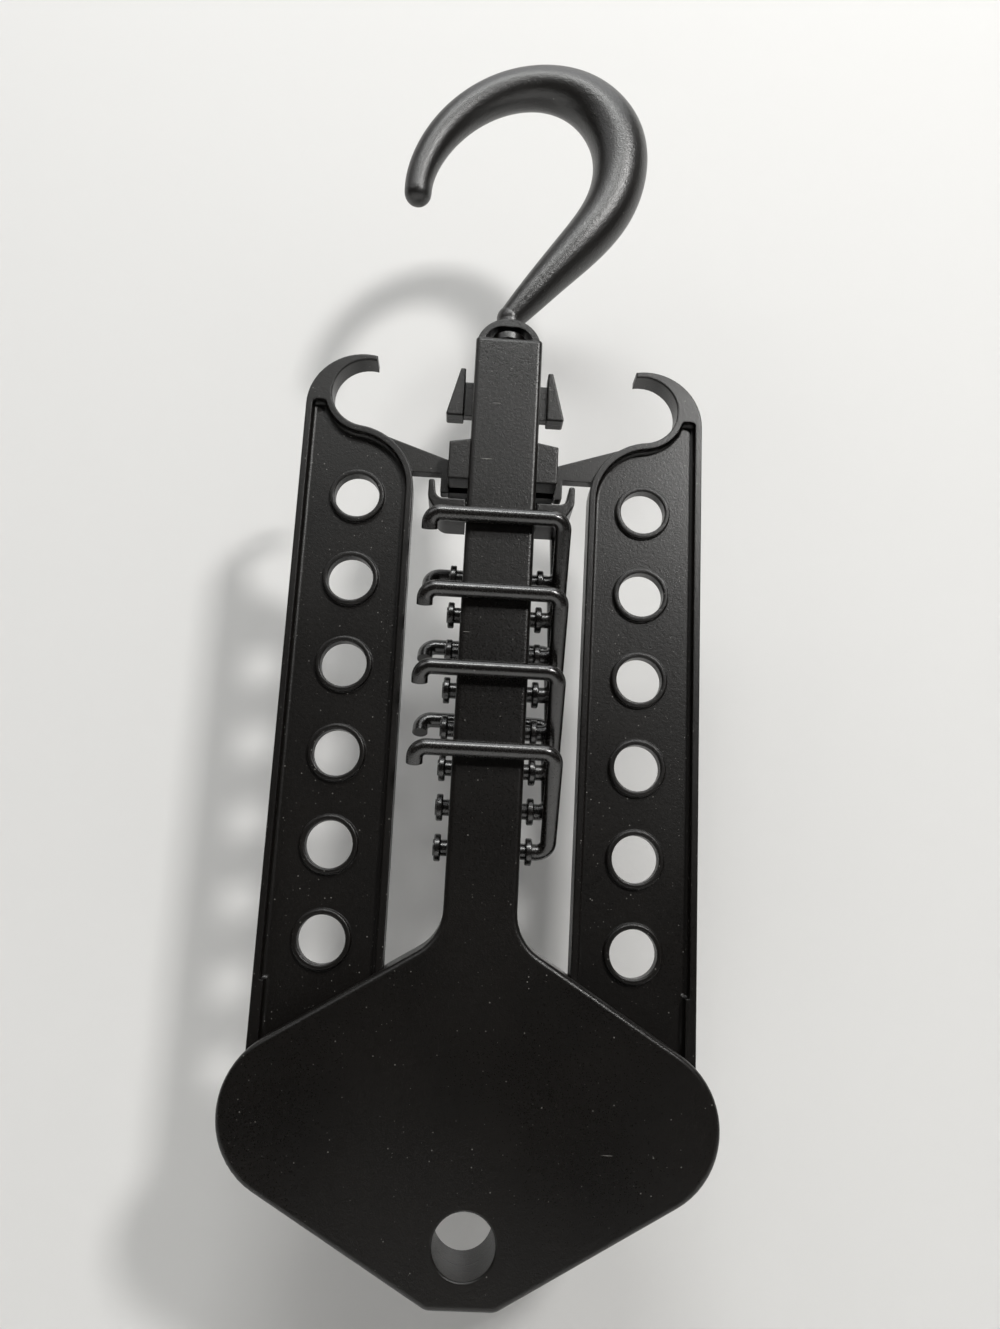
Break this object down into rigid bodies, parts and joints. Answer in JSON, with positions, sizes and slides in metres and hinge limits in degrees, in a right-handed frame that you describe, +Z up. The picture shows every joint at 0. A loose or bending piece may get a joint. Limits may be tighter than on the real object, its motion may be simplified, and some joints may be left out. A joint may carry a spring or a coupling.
{
  "type": "cascading hanger hook",
  "caption": "Folding space-saving hanger: swivel hook over a slim body with swing-out rods and perforated side arms that fold up and latch.",
  "frame": {"origin": "on the swivel axis, level with the inside top of the big hook, where it rests on a rail", "axes": "+Z up as it hangs, along the stem to the hook; +X to the right seen from the front; +Y to the back, through the plates"},
  "size_m": [0.1192, 0.029, 0.3368],
  "materials": {
    "body_plastic": "black moulded plastic with a fine satin grain",
    "arm_plastic": "black moulded plastic, smoother in the recessed panels",
    "hook_plastic": "black moulded plastic with a spark-eroded grain",
    "rod_plastic": "smooth black moulded plastic",
    "screw_steel": "plain zinc-plated steel"
  },
  "bodies": {
    "hook": {"swivel_hook": "hook_plastic", "swivel_retainer": "hook_plastic"},
    "body": {"front_shell": "body_plastic", "rear_shell": "body_plastic", "latch_clip": "body_plastic", "pivot_screws": "screw_steel", "stem_screws": "screw_steel"},
    "right_arm": {"right_arm": "arm_plastic"},
    "left_arm": {"left_arm": "arm_plastic"},
    "front_rod_1": {"front_rod_1": "rod_plastic"},
    "front_rod_2": {"front_rod_2": "rod_plastic"},
    "front_rod_3": {"front_rod_3": "rod_plastic"},
    "front_rod_4": {"front_rod_4": "rod_plastic"},
    "rear_rod_1": {"rear_rod_1": "rod_plastic"},
    "rear_rod_2": {"rear_rod_2": "rod_plastic"},
    "rear_rod_3": {"rear_rod_3": "rod_plastic"},
    "rear_rod_4": {"rear_rod_4": "rod_plastic"}
  },
  "joints": [
    {"name": "hook_swivel", "type": "hinge", "parent": "hook", "child": "body", "pos_m": [0, 0, 0], "axis": [0, 0, 1], "continuous": true},
    {"name": "right_arm_swing", "type": "hinge", "parent": "body", "child": "right_arm", "pos_m": [0.0392, 0, -0.28396], "axis": [0, 1, 0], "range_deg": [0, 90], "deforming": ["latch_clip"]},
    {"name": "left_arm_swing", "type": "hinge", "parent": "body", "child": "left_arm", "pos_m": [-0.0392, 0, -0.28396], "axis": [0, -1, 0], "range_deg": [0, 90], "deforming": ["latch_clip"]},
    {"name": "front_rod_1_swing", "type": "hinge", "parent": "body", "child": "front_rod_1", "pos_m": [0, 0, -0.15845], "axis": [1, 0, 0], "range_deg": [0, 63]},
    {"name": "front_rod_2_swing", "type": "hinge", "parent": "body", "child": "front_rod_2", "pos_m": [0, 0, -0.17895], "axis": [1, 0, 0], "range_deg": [0, 63]},
    {"name": "front_rod_3_swing", "type": "hinge", "parent": "body", "child": "front_rod_3", "pos_m": [0, 0, -0.19946], "axis": [1, 0, 0], "range_deg": [0, 63]},
    {"name": "front_rod_4_swing", "type": "hinge", "parent": "body", "child": "front_rod_4", "pos_m": [0, 0, -0.21996], "axis": [1, 0, 0], "range_deg": [0, 63]},
    {"name": "rear_rod_1_swing", "type": "hinge", "parent": "body", "child": "rear_rod_1", "pos_m": [0, 0, -0.1482], "axis": [-1, 0, 0], "range_deg": [0, 63]},
    {"name": "rear_rod_2_swing", "type": "hinge", "parent": "body", "child": "rear_rod_2", "pos_m": [0, 0, -0.1687], "axis": [-1, 0, 0], "range_deg": [0, 63]},
    {"name": "rear_rod_3_swing", "type": "hinge", "parent": "body", "child": "rear_rod_3", "pos_m": [0, 0, -0.18921], "axis": [-1, 0, 0], "range_deg": [0, 63]},
    {"name": "rear_rod_4_swing", "type": "hinge", "parent": "body", "child": "rear_rod_4", "pos_m": [0, 0, -0.20971], "axis": [-1, 0, 0], "range_deg": [0, 63]}
  ],
  "couplings": [
    {"joint": "front_rod_2_swing", "follows": "front_rod_1_swing", "ratio": 1},
    {"joint": "front_rod_3_swing", "follows": "front_rod_1_swing", "ratio": 1},
    {"joint": "front_rod_4_swing", "follows": "front_rod_1_swing", "ratio": 1},
    {"joint": "rear_rod_2_swing", "follows": "rear_rod_1_swing", "ratio": 1},
    {"joint": "rear_rod_3_swing", "follows": "rear_rod_1_swing", "ratio": 1},
    {"joint": "rear_rod_4_swing", "follows": "rear_rod_1_swing", "ratio": 1}
  ]
}
